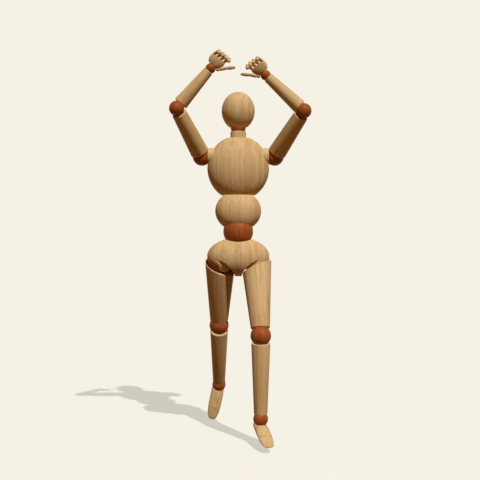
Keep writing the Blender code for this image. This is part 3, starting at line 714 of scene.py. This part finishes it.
# %% Palms
KNUCKLE_Z = 0.0154
KNUCKLE_X = (0.0072, 0.0024, -0.0024, -0.0072)
FINGER_BALL_R = 0.00205
FINGER_R = 0.00205
FINGER_FIT = 1.06
THUMB_ROOT = (0.0069, -0.0008, -0.0043)
THUMB_PLAY = 6.0
THUMB_SPREAD = 42.0
THUMB_SCALE = 1.0
THUMB_ROOM = 0.0005
THUMB_SLOT = 0.0120
PALM_POWER = 2.4
PALM_EASE = 0.0006
PALM_STATIONS = (
    (-0.0036, 0.0056, 0.0036, -0.0042),
    (-0.0050, 0.0071, 0.0043, -0.0048),
    (-0.0078, 0.0088, 0.0045, -0.0050),
    (-0.0108, 0.0096, 0.0042, -0.0046),
    (-0.0134, 0.0096, 0.0035, -0.0036),
    (-0.0145, 0.0092, 0.0026, -0.0026),
)


def finger_socket(scale):
    """Radius of the socket for a finger ball."""
    return FINGER_BALL_R * scale * FINGER_FIT + FIT_GAP


for tag, side, _ in SIDES:
    cuts = [globe(socket_r(WRIST_BALL_R), (0.0, 0.0, 0.0), 56, 28)]
    for x in KNUCKLE_X:
        cuts.append(globe(finger_socket(1.0), (side * x, 0.0, -KNUCKLE_Z), 32, 16))
    root = Vector((side * THUMB_ROOT[0], THUMB_ROOT[1], THUMB_ROOT[2]))
    cuts.append(globe(finger_socket(THUMB_SCALE), root, 32, 16))
    for spread in (THUMB_SPREAD - THUMB_PLAY, THUMB_SPREAD):
        way = turn(-side * spread, "Y") @ Vector((0.0, 0.0, -THUMB_SLOT))
        cuts.append(rod(FINGER_R * THUMB_SCALE + THUMB_ROOM, root, root + way, 32))
    palm = moved(carved_block("palm", PALM_STATIONS, PALM_POWER, PALM_EASE, PALM_POWER), turn(90.0, "X"))
    dress("palm_" + tag, carve(palm, *cuts), palm_at[tag], BEECH)
print("palms dressed:", len(palm_at))

# %% Fingers and thumbs
FINGER_NAMES = ("index", "middle", "ring", "little")
FINGER_BASE_L = (0.0088, 0.0094, 0.0090, 0.0080)
FINGER_TIP_L = (0.0072, 0.0078, 0.0074, 0.0066)
FINGER_NECK_R = 0.00160
FINGER_RIM = 0.00140
THUMB_BASE_L = 0.0088
THUMB_TIP_L = 0.0120
KNUCKLE_CURL = 48.0
FINGER_CURL = 62.0
THUMB_BEND = 4.0
TIP_SHARE = 0.94
BASE_NECK = 0.45
TIP_NECK = 0.42
TIP_BLUNT = 0.62
RIM_BEVEL = (0.0001, 0.0003)


def finger_base(length, scale):
    """First link: ball root, waisted neck, shaft and end socket."""
    root_r, neck, shaft = FINGER_BALL_R * scale, FINGER_NECK_R * scale, FINGER_R * scale
    cup, rim = finger_socket(scale * TIP_SHARE), FINGER_RIM * scale
    profile = arc(0.0, root_r, 0.0, 180.0 - angle_of_r(root_r, neck), 16)
    low = profile[-1][1]
    for i in range(1, 7):
        t = i / 6
        profile.append((neck + (shaft - neck) * t * t * (3 - 2 * t), low + (-BASE_NECK * length - low) * t))
    profile.append((shaft, -length + rim + RIM_BEVEL[1]))
    profile.append((shaft - RIM_BEVEL[0], -length + rim))
    profile += arc(-length, cup, angle_of_z(cup, rim), 0.0, 12)
    return lathe("finger_base", profile, 32)


def finger_tip(length, scale):
    """Last link: ball root and a rounded end."""
    root_r, neck = FINGER_BALL_R * scale * TIP_SHARE, FINGER_NECK_R * scale * TIP_SHARE
    shaft = FINGER_R * scale
    profile = arc(0.0, root_r, 0.0, 180.0 - angle_of_r(root_r, neck), 16)
    low = profile[-1][1]
    for i in range(1, 7):
        t = i / 6
        profile.append((neck + (shaft - neck) * t * t * (3 - 2 * t), low + (-TIP_NECK * length - low) * t))
    for i in range(1, 13):
        a = math.radians(90.0 * i / 12)
        width = shaft * math.cos(a) ** TIP_BLUNT if i < 12 else 0.0
        profile.append((width, -TIP_NECK * length - (1.0 - TIP_NECK) * length * math.sin(a)))
    return lathe("finger_tip", profile, 32)


for tag, side, _ in SIDES:
    for finger, x, base_l, tip_l in zip(FINGER_NAMES, KNUCKLE_X, FINGER_BASE_L, FINGER_TIP_L):
        here = palm_at[tag] @ at(side * x, 0.0, -KNUCKLE_Z) @ turn(-KNUCKLE_CURL, "X")
        dress(finger + "_base_" + tag, finger_base(base_l, 1.0), here, BEECH)
        here = here @ at(0.0, 0.0, -base_l) @ turn(-FINGER_CURL, "X")
        dress(finger + "_tip_" + tag, finger_tip(tip_l, 1.0), here, BEECH)
    root_at = at(side * THUMB_ROOT[0], THUMB_ROOT[1], THUMB_ROOT[2])
    here = palm_at[tag] @ root_at @ turn(-side * THUMB_SPREAD, "Y")
    dress("thumb_base_" + tag, finger_base(THUMB_BASE_L, THUMB_SCALE), here, BEECH)
    here = here @ at(0.0, 0.0, -THUMB_BASE_L) @ turn(-side * THUMB_BEND, "Y")
    dress("thumb_tip_" + tag, finger_tip(THUMB_TIP_L, THUMB_SCALE), here, BEECH)
print("finger links dressed:", 10 * len(SIDES))

# %% [markdown]
# ## Legs
# The thigh has a mouth that leans outwards, so that the leg hangs straight below the
# pelvis while the ball still sits under it.  In the profile each point of the mouth takes
# a share of that slant, and the knee end takes none.

# %% Thighs, knees, shins and ankles
HIP_SWING = (-19.2, 26.8)
HIP_SIDE = (-2.6, -1.2)
THIGH_TWIST = (5.8, 3.5)
KNEE_BEND = (23.9, 4.9)
SHIN_TWIST = (5.2, 13.0)
ANKLE_POINT = (8.9, 48.4)
ANKLE_ROLL = (1.2, -13.7)
TOE_BEND = (0.0, 6.0)
THIGH_L = 0.0890
THIGH_END_R = 0.0111
KNEE_BALL_R = 0.0118
KNEE_RIM = 0.0085
SHIN_L = 0.0970
SHIN_TOP_R = 0.0109
SHIN_END_R = 0.0078
ANKLE_BALL_R = 0.0086
ANKLE_RIM = 0.0056
LEG_BORE_R = 0.0034
SHIN_BORE_R = 0.0026
HIP_EASE = 0.0004
THIGH_EASE = 0.0010
SHIN_EASE = 0.0009
KNEE_PEG = 0.0070
leg_spring_at = {}
foot_at = {}


def thigh(side):
    """Thigh with a slanted, stepped mouth round the hip ball."""
    cup_a, cup_b = socket_r(HIP_BALL_R), socket_r(KNEE_BALL_R)
    inner = 180.0 - HIP_SEAT
    profile = arc(0.0, cup_a, 180.0 - angle_of_r(cup_a, LEG_BORE_R), inner, 6)
    for i, (r, z) in enumerate(arc(0.0, HIP_MOUTH_R, inner, angle_of_z(HIP_MOUTH_R, -HIP_RIM), 18)):
        profile.append((r, z, i / 18))
    for r, z in eased(THIGH_TOP_R - HIP_EASE, -HIP_RIM - HIP_EASE, HIP_EASE, 0.0, 90.0):
        profile.append((r, z, None))
    profile += eased(THIGH_END_R - THIGH_EASE, -THIGH_L + KNEE_RIM + THIGH_EASE, THIGH_EASE, 90.0, 180.0)
    profile += arc(-THIGH_L, cup_b, angle_of_z(cup_b, KNEE_RIM), angle_of_r(cup_b, LEG_BORE_R), 16)
    return lathe("thigh", profile, closed=True, slant=-side * HIP_SLANT)


for tag, side, k in SIDES:
    here = at(side * HIP_X, 0.0, HIP_Z) @ turn(HIP_SWING[k], "X")
    dress("hip_ball_" + tag, lathe("ball", arc(0.0, HIP_BALL_R, 0.0, 180.0, 40)), here, STAINED)
    here = here @ turn(side * HIP_SIDE[k], "Y")
    leg_spring_at[tag] = here.copy()
    here = here @ turn(side * THIGH_TWIST[k], "Z")
    dress("thigh_" + tag, thigh(side), here, BEECH)

    here = here @ at(0.0, 0.0, -THIGH_L) @ turn(KNEE_BEND[k], "X")
    ball = pegged_ball("ball", KNEE_BALL_R, SHIN_BORE_R - PEG_ROOM, KNEE_BALL_R + KNEE_PEG)
    dress("knee_ball_" + tag, ball, here, STAINED)
    here = here @ turn(side * SHIN_TWIST[k], "Z")
    shin = limb("shin", SHIN_L, (KNEE_BALL_R, KNEE_RIM, SHIN_TOP_R),
                (ANKLE_BALL_R, ANKLE_RIM, SHIN_END_R), SHIN_BORE_R, SHIN_EASE)
    dress("shin_" + tag, shin, here, BEECH)
    here = here @ at(0.0, 0.0, -SHIN_L) @ turn(ANKLE_POINT[k], "X")
    dress("ankle_ball_" + tag, lathe("ball", arc(0.0, ANKLE_BALL_R, 0.0, 180.0, 36)), here, STAINED)
    foot_at[tag] = here @ turn(side * ANKLE_ROLL[k], "Y")
print("leg pieces dressed:", 5 * len(SIDES))

# %% [markdown]
# ## Feet
# A foot is carved like the palm and then sawn across.  The toe piece keeps a round edge
# that rolls in a hollow of the foot, so the foot and its toes are two cuts of one block.

# %% Feet and toes
FOOT_STATIONS = (
    (0.0112, 0.0040, -0.0082, -0.0122),
    (0.0094, 0.0058, -0.0064, -0.0132),
    (0.0050, 0.0073, -0.0046, -0.0136),
    (-0.0040, 0.0078, -0.0042, -0.0136),
    (-0.0130, 0.0081, -0.0046, -0.0136),
    (-0.0220, 0.0082, -0.0060, -0.0136),
    (-0.0300, 0.0079, -0.0074, -0.0135),
    (-0.0380, 0.0069, -0.0086, -0.0133),
    (-0.0435, 0.0053, -0.0096, -0.0129),
    (-0.0465, 0.0029, -0.0106, -0.0122),
)
TOE_HINGE = (-0.0310, -0.0106)
TOE_HINGE_R = 0.0042
FOOT_POWER = 2.6
FOOT_CROWN = 1.9
FOOT_EASE = 0.0012
SAW_REACH = 0.02
SAW_FRONT = 0.03
SAW_BACK = 0.06


def across(radius, front):
    """Prism across the foot: the side of the toe seam that lies in front of it or behind."""
    hinge_y, hinge_z = TOE_HINGE
    outline = []
    for i in range(33):
        a = math.radians(90.0 - 180.0 * i / 32)
        outline.append((hinge_y + radius * math.cos(a), hinge_z + radius * math.sin(a)))
    end = hinge_y - SAW_FRONT if front else hinge_y + SAW_BACK
    outline += [(hinge_y, hinge_z - SAW_REACH), (end, hinge_z - SAW_REACH)]
    outline += [(end, hinge_z + SAW_REACH), (hinge_y, hinge_z + SAW_REACH)]
    bm = bmesh.new()
    left = [bm.verts.new((-SAW_REACH, y, z)) for y, z in outline]
    right = [bm.verts.new((SAW_REACH, y, z)) for y, z in outline]
    skin(bm, [left, right], False)
    bm.faces.new(left)
    bm.faces.new(right)
    return to_mesh("seam", bm)


for tag, _, k in SIDES:
    block = carved_block("foot", FOOT_STATIONS, FOOT_POWER, FOOT_EASE, FOOT_CROWN)
    foot = carve(block.copy(), across(TOE_HINGE_R + SEAM_GAP, True),
                 globe(socket_r(ANKLE_BALL_R), (0.0, 0.0, 0.0)))
    dress("foot_" + tag, foot, foot_at[tag], BEECH)
    toes = moved(carve(block, across(TOE_HINGE_R, False)), at(0.0, -TOE_HINGE[0], -TOE_HINGE[1]))
    toes_at = foot_at[tag] @ at(0.0, TOE_HINGE[0], TOE_HINGE[1]) @ turn(TOE_BEND[k], "X")
    dress("toes_" + tag, toes, toes_at, BEECH)
print("feet dressed:", len(foot_at))

# %% [markdown]
# ## Springs
# A tension spring is one wire wound close round a mandrel, with its two ends bent to the
# axis.  It repeats along a path, which is what Geometry Nodes are for: a spiral curve and
# the two end curves are swept with a round wire.  The tree has named inputs, so the same
# tree winds all five springs.

# %% The spring tree
WIRE_R = 0.0005
COIL_PITCH = 0.00135
TAIL = 0.0036
SPRING_ROOM = 0.0004
LEG_SPRING_ROOM = 0.0005
SPINE_SPRING_END = 0.0010
ARM_SPRING_TOP = 0.0070
LEG_SPRING_TOP = 0.0012
LIMB_SPRING_END = 0.0008

spring_tree = bpy.data.node_groups.new("wound spring", "GeometryNodeTree")
spring_inputs = {}
for title in ("Coil Radius", "Length", "Turns", "Wire Radius", "Tail", "Wire"):
    kind = "NodeSocketMaterial" if title == "Wire" else "NodeSocketFloat"
    made = spring_tree.interface.new_socket(title, in_out="INPUT", socket_type=kind)
    spring_inputs[title] = made.identifier
spring_tree.interface.new_socket("Geometry", in_out="OUTPUT", socket_type="NodeSocketGeometry")
source = add(spring_tree, "NodeGroupInput")
# The coil runs from one tail length above the bottom to one below the top
tails = add(spring_tree, "ShaderNodeMath", operation="MULTIPLY", values={1: 2.0}, links={0: (source, "Tail")})
height = add(spring_tree, "ShaderNodeMath", operation="SUBTRACT",
             links={0: (source, "Length"), 1: (tails, 0)})
coil = add(spring_tree, "GeometryNodeCurveSpiral", values={"Resolution": 20},
           links={"Rotations": (source, "Turns"), "Start Radius": (source, "Coil Radius"),
                  "End Radius": (source, "Coil Radius"), "Height": (height, 0)})
lift = add(spring_tree, "ShaderNodeCombineXYZ", links={"Z": (source, "Tail")})
raised = add(spring_tree, "GeometryNodeTransform",
             links={"Geometry": (coil, "Curve"), "Translation": (lift, 0)})
# Each tail starts on the axis and bends out to the coil
half_tail = add(spring_tree, "ShaderNodeMath", operation="MULTIPLY", values={1: 0.6},
                links={0: (source, "Tail")})
low_mid = add(spring_tree, "ShaderNodeCombineXYZ", links={"Z": (half_tail, 0)})
low_out = add(spring_tree, "ShaderNodeCombineXYZ",
              links={"X": (source, "Coil Radius"), "Z": (source, "Tail")})
low_tail = add(spring_tree, "GeometryNodeCurvePrimitiveBezierSegment", mode="POSITION",
               values={"Resolution": 8, "Start": (0.0, 0.0, 0.0)},
               links={"Start Handle": (low_mid, 0), "End Handle": (low_mid, 0), "End": (low_out, 0)})
top_mid_z = add(spring_tree, "ShaderNodeMath", operation="SUBTRACT",
                links={0: (source, "Length"), 1: (half_tail, 0)})
top_out_z = add(spring_tree, "ShaderNodeMath", operation="SUBTRACT",
                links={0: (source, "Length"), 1: (source, "Tail")})
top_end = add(spring_tree, "ShaderNodeCombineXYZ", links={"Z": (source, "Length")})
top_mid = add(spring_tree, "ShaderNodeCombineXYZ", links={"Z": (top_mid_z, 0)})
top_out = add(spring_tree, "ShaderNodeCombineXYZ", links={"X": (source, "Coil Radius"), "Z": (top_out_z, 0)})
top_tail = add(spring_tree, "GeometryNodeCurvePrimitiveBezierSegment", mode="POSITION",
               values={"Resolution": 8},
               links={"Start": (top_end, 0), "Start Handle": (top_mid, 0),
                      "End Handle": (top_mid, 0), "End": (top_out, 0)})
path = add(spring_tree, "GeometryNodeJoinGeometry")
for part in (top_tail, low_tail):
    spring_tree.links.new(part.outputs["Curve"], path.inputs["Geometry"])
spring_tree.links.new(raised.outputs["Geometry"], path.inputs["Geometry"])
wire = add(spring_tree, "GeometryNodeCurvePrimitiveCircle", values={"Resolution": 10},
           links={"Radius": (source, "Wire Radius")})
swept_wire = add(spring_tree, "GeometryNodeCurveToMesh", values={"Fill Caps": True},
                 links={"Curve": (path, "Geometry"), "Profile Curve": (wire, "Curve")})
real = add(spring_tree, "GeometryNodeRealizeInstances", links={"Geometry": (swept_wire, "Mesh")})
painted = add(spring_tree, "GeometryNodeSetMaterial",
              links={"Geometry": (real, "Geometry"), "Material": (source, "Wire")})
add(spring_tree, "NodeGroupOutput", links={"Geometry": (painted, "Geometry")})
print("spring tree nodes:", len(spring_tree.nodes))


# %% Wind the five springs
def wind(node, coil_r, top, bottom, matrix, body):
    """Wind one spring between two heights of its limb and put it in place."""
    holder = bpy.data.objects.new("spring_holder", bpy.data.meshes.new("spring_holder"))
    bpy.context.scene.collection.objects.link(holder)
    winding = holder.modifiers.new("winding", "NODES")
    winding.node_group = spring_tree
    length = top - bottom
    turns = int((length - 2.0 * TAIL) / COIL_PITCH)
    sizes = {"Coil Radius": coil_r, "Length": length, "Turns": float(turns),
             "Wire Radius": WIRE_R, "Tail": TAIL, "Wire": STEEL}
    for title, value in sizes.items():
        winding[spring_inputs[title]] = value
    bpy.context.view_layer.update()
    graph = bpy.context.evaluated_depsgraph_get()
    mesh = bpy.data.meshes.new_from_object(holder.evaluated_get(graph))
    holder.modifiers.clear()
    bpy.data.objects.remove(holder, do_unlink=True)
    print(node, "turns:", turns, "faces:", len(mesh.polygons))
    return dress(node, moved(mesh, at(0.0, 0.0, bottom)), matrix, STEEL, body, 60.0)


spine_top = TRUNK_SPLIT_Z - WAIST_Z + SPINE_SOCKET_DEPTH - SPINE_SPRING_END
wind("spine_spring", SPINE_BORE_R - SPRING_ROOM - WIRE_R, spine_top,
     WAIST_R + SPINE_SPRING_END, waist_at, "abdomen")
for tag, _, _ in SIDES:
    wind("arm_spring_" + tag, ARM_BORE_R - SPRING_ROOM - WIRE_R, -SHOULDER_BALL_R - ARM_SPRING_TOP,
         -UPPER_ARM_L + ELBOW_BALL_R + LIMB_SPRING_END, upper_arm_at[tag], "upper_arm_" + tag)
    wind("leg_spring_" + tag, LEG_BORE_R - LEG_SPRING_ROOM - WIRE_R, -HIP_BALL_R - LEG_SPRING_TOP,
         -THIGH_L + KNEE_BALL_R + LIMB_SPRING_END, leg_spring_at[tag], "leg_spring_" + tag)

# %% [markdown]
# ## Floor, light and camera
# The figure is held up a little over a plain pale floor.  A key light stands high at the
# front right and a weak warm fill comes from all round.  The key is two suns: one for the
# floor, where the whole figure casts its shadow, and one for the figure, where only the
# pelvis, the feet and the upper arms with their elbow balls cast one, so that the head, the
# forearms and the hands leave the chest bright.  The floor shows a flat pale tone and still
# takes the shadow: part of its tone is painted light and part is real light that the figure
# can block.  To other rays it is a dim warm floor, so that it does not light the undersides.

# %% Floor and surroundings
BACKDROP = "#f6f1e5"
FLOOR_Z = -0.193
FLOOR_R = 60.0
FLOOR_GLOW = (0.580, 0.5737, 0.5227, 1.0)
FLOOR_MATT = (0.393, 0.382, 0.347, 1.0)
FLOOR_DIM = (0.21, 0.096, 0.020, 1.0)
FILL = (0.130, 0.061, 0.012, 1.0)

floor_bm = bmesh.new()
rim = [floor_bm.verts.new((FLOOR_R * math.cos(a), FLOOR_R * math.sin(a), FLOOR_Z))
       for a in (2.0 * math.pi * i / 48 for i in range(48))]
floor_bm.faces.new(rim)
floor = bpy.data.objects.new("floor", to_mesh("floor", floor_bm))
bpy.context.scene.collection.objects.link(floor)

paint, paint_tree, unused = new_material("pale floor")
paint_tree.nodes.remove(unused)
rays = add(paint_tree, "ShaderNodeLightPath")
seen = add(paint_tree, "ShaderNodeMath", operation="MAXIMUM",
           links={0: (rays, "Is Camera Ray"), 1: (rays, "Is Glossy Ray")})
seen = add(paint_tree, "ShaderNodeMath", operation="MAXIMUM",
           links={0: (seen, 0), 1: (rays, "Is Transmission Ray")})
glow = add(paint_tree, "ShaderNodeEmission", values={"Color": FLOOR_GLOW, "Strength": 1.0})
matt = add(paint_tree, "ShaderNodeBsdfDiffuse", values={"Color": FLOOR_MATT})
shown = add(paint_tree, "ShaderNodeAddShader", links={0: (glow, 0), 1: (matt, 0)})
dim = add(paint_tree, "ShaderNodeBsdfDiffuse", values={"Color": FLOOR_DIM})
both = add(paint_tree, "ShaderNodeMixShader", links={0: (seen, 0), 1: (dim, 0), 2: (shown, 0)})
paint_tree.links.new(both.outputs[0], paint_tree.nodes["Material Output"].inputs["Surface"])
floor.data.materials.append(paint)

world = bpy.data.worlds.new("studio")
bpy.context.scene.world = world
world.use_nodes = True
world_tree = world.node_tree
fill = world_tree.nodes["Background"]
fill.inputs["Color"].default_value = FILL
rays = add(world_tree, "ShaderNodeLightPath")
seen = add(world_tree, "ShaderNodeMath", operation="MAXIMUM",
           links={0: (rays, "Is Camera Ray"), 1: (rays, "Is Glossy Ray")})
seen = add(world_tree, "ShaderNodeMath", operation="MAXIMUM",
           links={0: (seen, 0), 1: (rays, "Is Transmission Ray")})
pale = add(world_tree, "ShaderNodeBackground", values={"Color": linear(BACKDROP)})
mixed = add(world_tree, "ShaderNodeMixShader", links={0: (seen, 0), 1: (fill, 0), 2: (pale, 0)})
world_tree.links.new(mixed.outputs[0], world_tree.nodes["World Output"].inputs["Surface"])

# %% Key lights and camera
SUN_ANGLE = 0.8
LIGHTS = (
    ("figure", "EXCLUDE", 3.40, (0.205, -0.585, 0.785)),
    ("floor", "INCLUDE", 3.15, (0.330, -0.590, 0.740)),
)
SHADING = ("foot", "upper_arm", "elbow_ball")
CAMERA_AT = (0.0021, -0.905, 0.0425)
SENSOR_MM = 36.0
FOCAL_SHARE = 767.0 / 480.0

for place, state, energy, toward in LIGHTS:
    lamp = bpy.data.lights.new("key_" + place, "SUN")
    lamp.energy = energy
    lamp.angle = math.radians(SUN_ANGLE)
    key = bpy.data.objects.new("key_" + place, lamp)
    key.rotation_euler = Vector(toward).to_track_quat("Z", "Y").to_euler()
    bpy.context.scene.collection.objects.link(key)
    lit = bpy.data.collections.new("lit_" + place)
    lit.objects.link(floor)
    lit.collection_objects[0].light_linking.link_state = state
    key.light_linking.receiver_collection = lit
    if place == "figure":
        shading = bpy.data.collections.new("shading")
        shading.objects.link(bpy.data.objects["pelvis_fine"])
        for node, (tag, _, _) in itertools.product(SHADING, SIDES):
            shading.objects.link(bpy.data.objects[node + "_" + tag + "_fine"])
        key.light_linking.blocker_collection = shading

lens = bpy.data.cameras.new("camera")
lens.sensor_width = SENSOR_MM
lens.lens = SENSOR_MM * FOCAL_SHARE
camera = bpy.data.objects.new("camera", lens)
camera.location = CAMERA_AT
camera.rotation_euler = (math.radians(90.0), 0.0, 0.0)
bpy.context.scene.collection.objects.link(camera)
bpy.context.scene.camera = camera
bpy.context.scene.view_settings.view_transform = "Standard"
